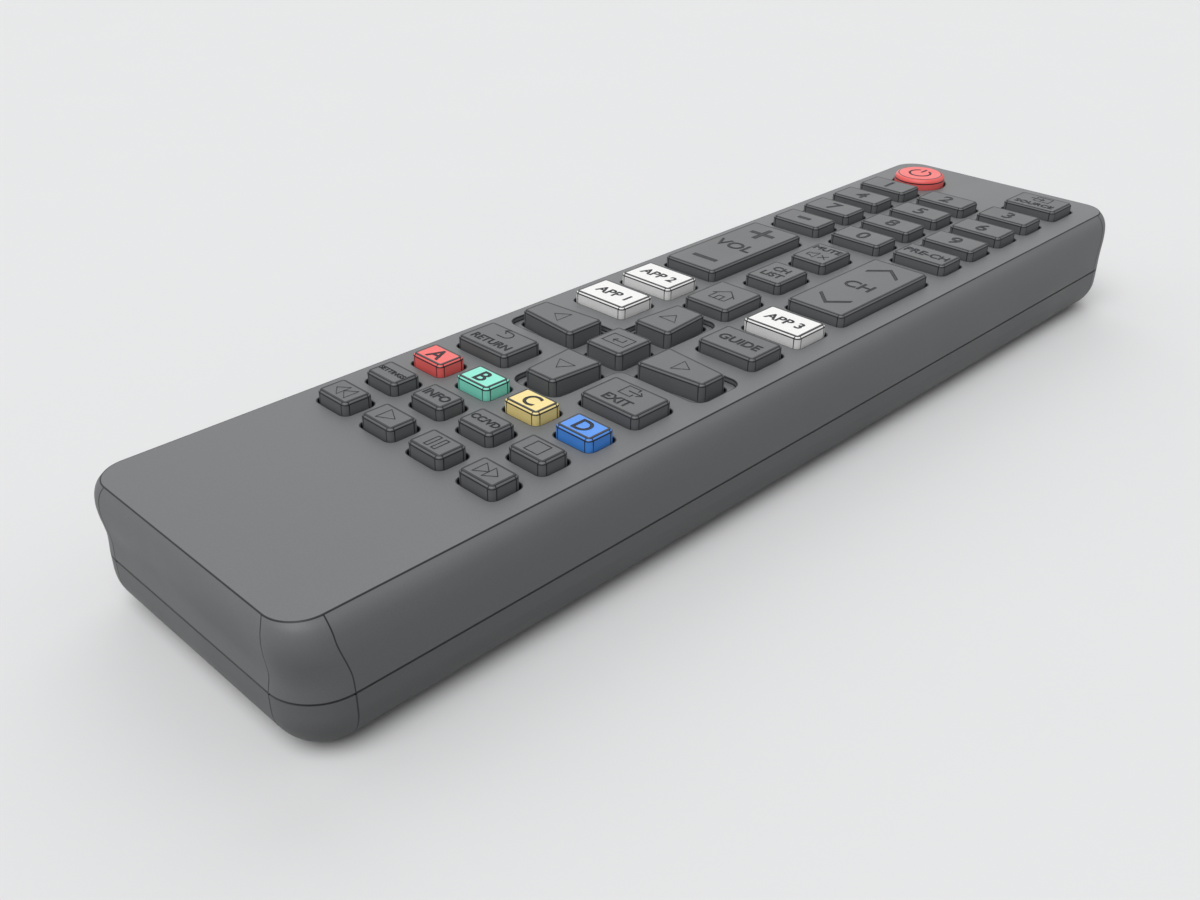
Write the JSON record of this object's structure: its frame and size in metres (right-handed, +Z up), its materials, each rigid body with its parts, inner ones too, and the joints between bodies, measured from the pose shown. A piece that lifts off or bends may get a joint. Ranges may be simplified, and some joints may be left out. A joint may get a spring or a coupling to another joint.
{
  "type": "television remote control",
  "caption": "Slim hand-held television remote control with a numbered keypad, direction keys, tilting volume and channel rockers, and a cell bay under a hooked cover.",
  "frame": {"origin": "under the middle of the case, on the surface that it lies on", "axes": "+X to the right of the keypad seen from above, +Y towards the head with the infrared window, +Z up out of the keys"},
  "size_m": [0.045, 0.1716, 0.0195],
  "materials": {
    "case_plastic": "fine sparked texture",
    "key_plastic": "smooth satin",
    "red_key": "smooth satin",
    "green_key": "smooth satin",
    "yellow_key": "smooth satin",
    "blue_key": "smooth satin",
    "white_key": "smooth satin",
    "window_plastic": "polished, dark infrared-passing",
    "emitter_resin": "clear tinted resin",
    "mat_rubber": "matt moulded silicone",
    "board": "solder resist",
    "chip_epoxy": "matt epoxy",
    "resonator_can": "drawn can",
    "capacitor_sleeve": "shrunk sleeve",
    "resistor_ceramic": "printed ceramic",
    "spring_wire": "nickel-plated wire",
    "contact_sheet": "nickel-plated sheet",
    "cell_jacket": "printed film jacket"
  },
  "bodies": {
    "case": {"upper_case": "case_plastic", "lower_case": "case_plastic", "infrared_window": "window_plastic", "infrared_emitter": "emitter_resin", "keypad_mat": "mat_rubber", "circuit_board": "board", "control_chip": "chip_epoxy", "resonator": "resonator_can", "capacitor": "capacitor_sleeve", "transistor": "chip_epoxy", "chip_resistors": "resistor_ceramic", "spring_contacts": "spring_wire", "plate_contacts": "contact_sheet", "battery_cells": "cell_jacket"},
    "cover": {"battery_cover": "case_plastic"},
    "0_button": {"key_0": "key_plastic"},
    "1_button": {"key_1": "key_plastic"},
    "2_button": {"key_2": "key_plastic"},
    "3_button": {"key_3": "key_plastic"},
    "4_button": {"key_4": "key_plastic"},
    "5_button": {"key_5": "key_plastic"},
    "6_button": {"key_6": "key_plastic"},
    "7_button": {"key_7": "key_plastic"},
    "8_button": {"key_8": "key_plastic"},
    "9_button": {"key_9": "key_plastic"},
    "blue_button": {"key_blue": "blue_key"},
    "captions_button": {"key_captions": "key_plastic"},
    "channel_list_button": {"key_channel_list": "key_plastic"},
    "dash_button": {"key_dash": "key_plastic"},
    "down_button": {"key_down": "key_plastic"},
    "exit_button": {"key_exit": "key_plastic"},
    "forward_button": {"key_forward": "key_plastic"},
    "green_button": {"key_green": "green_key"},
    "guide_button": {"key_guide": "key_plastic"},
    "home_button": {"key_home": "key_plastic"},
    "info_button": {"key_info": "key_plastic"},
    "left_button": {"key_left": "key_plastic"},
    "mute_button": {"key_mute": "key_plastic"},
    "ok_button": {"key_ok": "key_plastic"},
    "pause_button": {"key_pause": "key_plastic"},
    "play_button": {"key_play": "key_plastic"},
    "power_button": {"key_power": "red_key"},
    "previous_button": {"key_previous": "key_plastic"},
    "red_button": {"key_red": "red_key"},
    "return_button": {"key_return": "key_plastic"},
    "rewind_button": {"key_rewind": "key_plastic"},
    "right_button": {"key_right": "key_plastic"},
    "settings_button": {"key_settings": "key_plastic"},
    "shortcut_1_button": {"key_shortcut_1": "white_key"},
    "shortcut_2_button": {"key_shortcut_2": "white_key"},
    "shortcut_3_button": {"key_shortcut_3": "white_key"},
    "source_button": {"key_source": "key_plastic"},
    "stop_button": {"key_stop": "key_plastic"},
    "up_button": {"key_up": "key_plastic"},
    "yellow_button": {"key_yellow": "yellow_key"},
    "volume_rocker": {"rocker_volume": "key_plastic"},
    "channel_rocker": {"rocker_channel": "key_plastic"}
  },
  "joints": [
    {"name": "cover_tilt", "type": "hinge", "parent": "case", "child": "cover", "pos_m": [0, -0.0752, 0.0001], "axis": [-1, 0, 0], "range_deg": [0, 60]},
    {"name": "volume_tilt", "type": "hinge", "parent": "case", "child": "volume_rocker", "pos_m": [-0.01235, 0.0207, 0.01575], "axis": [1, 0, 0], "range_deg": [-3.5, 3.5], "stiffness_Nm_per_rad": 0.06, "deforming": ["keypad_mat"]},
    {"name": "channel_tilt", "type": "hinge", "parent": "case", "child": "channel_rocker", "pos_m": [0.01175, 0.0207, 0.01575], "axis": [1, 0, 0], "range_deg": [-3.5, 3.5], "stiffness_Nm_per_rad": 0.06, "deforming": ["keypad_mat"]},
    {"name": "0_press", "type": "slide", "parent": "case", "child": "0_button", "axis": [0, 0, -1], "range_m": [0, 0.0007], "stiffness_N_per_m": 1000, "deforming": ["keypad_mat"]},
    {"name": "1_press", "type": "slide", "parent": "case", "child": "1_button", "axis": [0, 0, -1], "range_m": [0, 0.0007], "stiffness_N_per_m": 1000, "deforming": ["keypad_mat"]},
    {"name": "2_press", "type": "slide", "parent": "case", "child": "2_button", "axis": [0, 0, -1], "range_m": [0, 0.0007], "stiffness_N_per_m": 1000, "deforming": ["keypad_mat"]},
    {"name": "3_press", "type": "slide", "parent": "case", "child": "3_button", "axis": [0, 0, -1], "range_m": [0, 0.0007], "stiffness_N_per_m": 1000, "deforming": ["keypad_mat"]},
    {"name": "4_press", "type": "slide", "parent": "case", "child": "4_button", "axis": [0, 0, -1], "range_m": [0, 0.0007], "stiffness_N_per_m": 1000, "deforming": ["keypad_mat"]},
    {"name": "5_press", "type": "slide", "parent": "case", "child": "5_button", "axis": [0, 0, -1], "range_m": [0, 0.0007], "stiffness_N_per_m": 1000, "deforming": ["keypad_mat"]},
    {"name": "6_press", "type": "slide", "parent": "case", "child": "6_button", "axis": [0, 0, -1], "range_m": [0, 0.0007], "stiffness_N_per_m": 1000, "deforming": ["keypad_mat"]},
    {"name": "7_press", "type": "slide", "parent": "case", "child": "7_button", "axis": [0, 0, -1], "range_m": [0, 0.0007], "stiffness_N_per_m": 1000, "deforming": ["keypad_mat"]},
    {"name": "8_press", "type": "slide", "parent": "case", "child": "8_button", "axis": [0, 0, -1], "range_m": [0, 0.0007], "stiffness_N_per_m": 1000, "deforming": ["keypad_mat"]},
    {"name": "9_press", "type": "slide", "parent": "case", "child": "9_button", "axis": [0, 0, -1], "range_m": [0, 0.0007], "stiffness_N_per_m": 1000, "deforming": ["keypad_mat"]},
    {"name": "blue_press", "type": "slide", "parent": "case", "child": "blue_button", "axis": [0, 0, -1], "range_m": [0, 0.0007], "stiffness_N_per_m": 1000, "deforming": ["keypad_mat"]},
    {"name": "captions_press", "type": "slide", "parent": "case", "child": "captions_button", "axis": [0, 0, -1], "range_m": [0, 0.0007], "stiffness_N_per_m": 1000, "deforming": ["keypad_mat"]},
    {"name": "channel_list_press", "type": "slide", "parent": "case", "child": "channel_list_button", "axis": [0, 0, -1], "range_m": [0, 0.0007], "stiffness_N_per_m": 1000, "deforming": ["keypad_mat"]},
    {"name": "dash_press", "type": "slide", "parent": "case", "child": "dash_button", "axis": [0, 0, -1], "range_m": [0, 0.0007], "stiffness_N_per_m": 1000, "deforming": ["keypad_mat"]},
    {"name": "down_press", "type": "slide", "parent": "case", "child": "down_button", "axis": [0, 0, -1], "range_m": [0, 0.0007], "stiffness_N_per_m": 1000, "deforming": ["keypad_mat"]},
    {"name": "exit_press", "type": "slide", "parent": "case", "child": "exit_button", "axis": [0, 0, -1], "range_m": [0, 0.0007], "stiffness_N_per_m": 1000, "deforming": ["keypad_mat"]},
    {"name": "forward_press", "type": "slide", "parent": "case", "child": "forward_button", "axis": [0, 0, -1], "range_m": [0, 0.0007], "stiffness_N_per_m": 1000, "deforming": ["keypad_mat"]},
    {"name": "green_press", "type": "slide", "parent": "case", "child": "green_button", "axis": [0, 0, -1], "range_m": [0, 0.0007], "stiffness_N_per_m": 1000, "deforming": ["keypad_mat"]},
    {"name": "guide_press", "type": "slide", "parent": "case", "child": "guide_button", "axis": [0, 0, -1], "range_m": [0, 0.0007], "stiffness_N_per_m": 1000, "deforming": ["keypad_mat"]},
    {"name": "home_press", "type": "slide", "parent": "case", "child": "home_button", "axis": [0, 0, -1], "range_m": [0, 0.0007], "stiffness_N_per_m": 1000, "deforming": ["keypad_mat"]},
    {"name": "info_press", "type": "slide", "parent": "case", "child": "info_button", "axis": [0, 0, -1], "range_m": [0, 0.0007], "stiffness_N_per_m": 1000, "deforming": ["keypad_mat"]},
    {"name": "left_press", "type": "slide", "parent": "case", "child": "left_button", "axis": [0, 0, -1], "range_m": [0, 0.0007], "stiffness_N_per_m": 1000, "deforming": ["keypad_mat"]},
    {"name": "mute_press", "type": "slide", "parent": "case", "child": "mute_button", "axis": [0, 0, -1], "range_m": [0, 0.0007], "stiffness_N_per_m": 1000, "deforming": ["keypad_mat"]},
    {"name": "ok_press", "type": "slide", "parent": "case", "child": "ok_button", "axis": [0, 0, -1], "range_m": [0, 0.0007], "stiffness_N_per_m": 1000, "deforming": ["keypad_mat"]},
    {"name": "pause_press", "type": "slide", "parent": "case", "child": "pause_button", "axis": [0, 0, -1], "range_m": [0, 0.0007], "stiffness_N_per_m": 1000, "deforming": ["keypad_mat"]},
    {"name": "play_press", "type": "slide", "parent": "case", "child": "play_button", "axis": [0, 0, -1], "range_m": [0, 0.0007], "stiffness_N_per_m": 1000, "deforming": ["keypad_mat"]},
    {"name": "power_press", "type": "slide", "parent": "case", "child": "power_button", "axis": [0, 0, -1], "range_m": [0, 0.0007], "stiffness_N_per_m": 1000, "deforming": ["keypad_mat"]},
    {"name": "previous_press", "type": "slide", "parent": "case", "child": "previous_button", "axis": [0, 0, -1], "range_m": [0, 0.0007], "stiffness_N_per_m": 1000, "deforming": ["keypad_mat"]},
    {"name": "red_press", "type": "slide", "parent": "case", "child": "red_button", "axis": [0, 0, -1], "range_m": [0, 0.0007], "stiffness_N_per_m": 1000, "deforming": ["keypad_mat"]},
    {"name": "return_press", "type": "slide", "parent": "case", "child": "return_button", "axis": [0, 0, -1], "range_m": [0, 0.0007], "stiffness_N_per_m": 1000, "deforming": ["keypad_mat"]},
    {"name": "rewind_press", "type": "slide", "parent": "case", "child": "rewind_button", "axis": [0, 0, -1], "range_m": [0, 0.0007], "stiffness_N_per_m": 1000, "deforming": ["keypad_mat"]},
    {"name": "right_press", "type": "slide", "parent": "case", "child": "right_button", "axis": [0, 0, -1], "range_m": [0, 0.0007], "stiffness_N_per_m": 1000, "deforming": ["keypad_mat"]},
    {"name": "settings_press", "type": "slide", "parent": "case", "child": "settings_button", "axis": [0, 0, -1], "range_m": [0, 0.0007], "stiffness_N_per_m": 1000, "deforming": ["keypad_mat"]},
    {"name": "shortcut_1_press", "type": "slide", "parent": "case", "child": "shortcut_1_button", "axis": [0, 0, -1], "range_m": [0, 0.0007], "stiffness_N_per_m": 1000, "deforming": ["keypad_mat"]},
    {"name": "shortcut_2_press", "type": "slide", "parent": "case", "child": "shortcut_2_button", "axis": [0, 0, -1], "range_m": [0, 0.0007], "stiffness_N_per_m": 1000, "deforming": ["keypad_mat"]},
    {"name": "shortcut_3_press", "type": "slide", "parent": "case", "child": "shortcut_3_button", "axis": [0, 0, -1], "range_m": [0, 0.0007], "stiffness_N_per_m": 1000, "deforming": ["keypad_mat"]},
    {"name": "source_press", "type": "slide", "parent": "case", "child": "source_button", "axis": [0, 0, -1], "range_m": [0, 0.0007], "stiffness_N_per_m": 1000, "deforming": ["keypad_mat"]},
    {"name": "stop_press", "type": "slide", "parent": "case", "child": "stop_button", "axis": [0, 0, -1], "range_m": [0, 0.0007], "stiffness_N_per_m": 1000, "deforming": ["keypad_mat"]},
    {"name": "up_press", "type": "slide", "parent": "case", "child": "up_button", "axis": [0, 0, -1], "range_m": [0, 0.0007], "stiffness_N_per_m": 1000, "deforming": ["keypad_mat"]},
    {"name": "yellow_press", "type": "slide", "parent": "case", "child": "yellow_button", "axis": [0, 0, -1], "range_m": [0, 0.0007], "stiffness_N_per_m": 1000, "deforming": ["keypad_mat"]}
  ]
}
